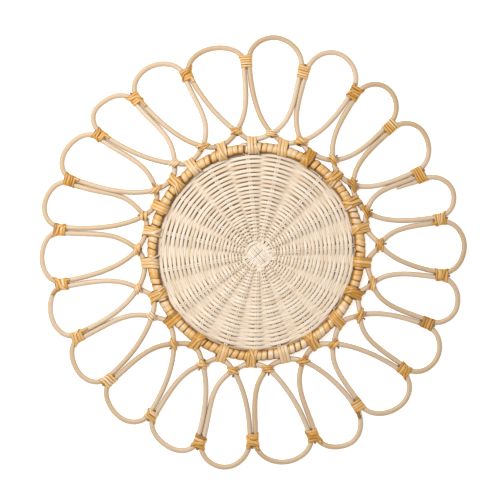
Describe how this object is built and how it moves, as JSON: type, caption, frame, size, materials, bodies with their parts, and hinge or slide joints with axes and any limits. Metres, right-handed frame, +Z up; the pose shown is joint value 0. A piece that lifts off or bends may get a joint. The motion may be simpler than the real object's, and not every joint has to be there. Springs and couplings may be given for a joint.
{
  "type": "rattan charger",
  "caption": "Round rattan charger plate with a woven reed disc in a wrapped hoop and a flower border of open cane petals.",
  "frame": {"origin": "on the table, under the middle of the woven disc", "axes": "+Z up from the table, +X to the right and +Y to the top of the picture"},
  "size_m": [0.3766, 0.3826, 0.0115],
  "materials": {
    "reed": "matt split reed",
    "cane": "satin peeled cane",
    "peel": "satin split cane skin"
  },
  "bodies": {
    "root": {"woven_disc": "reed", "wrapped_hoop": "peel", "petal_cane": "cane", "rim_tie_01": "peel", "rim_tie_02": "peel", "rim_tie_03": "peel", "rim_tie_04": "peel", "rim_tie_05": "peel", "rim_tie_06": "peel", "rim_tie_07": "peel", "rim_tie_08": "peel", "rim_tie_09": "peel", "rim_tie_10": "peel", "rim_tie_11": "peel", "rim_tie_12": "peel", "rim_tie_13": "peel", "rim_tie_14": "peel", "rim_tie_15": "peel", "rim_tie_16": "peel", "rim_tie_17": "peel", "rim_tie_18": "peel", "rim_tie_19": "peel", "rim_tie_20": "peel", "rim_tie_21": "peel", "rim_tie_22": "peel", "foot_tie_01": "peel", "foot_tie_02": "peel", "foot_tie_03": "peel", "foot_tie_04": "peel", "foot_tie_05": "peel", "foot_tie_06": "peel", "foot_tie_07": "peel", "foot_tie_08": "peel", "foot_tie_09": "peel", "foot_tie_10": "peel", "foot_tie_11": "peel", "foot_tie_12": "peel", "foot_tie_13": "peel", "foot_tie_14": "peel", "foot_tie_15": "peel", "foot_tie_16": "peel", "foot_tie_17": "peel", "foot_tie_18": "peel", "foot_tie_19": "peel", "foot_tie_20": "peel", "foot_tie_21": "peel", "foot_tie_22": "peel"}
  },
  "joints": []
}
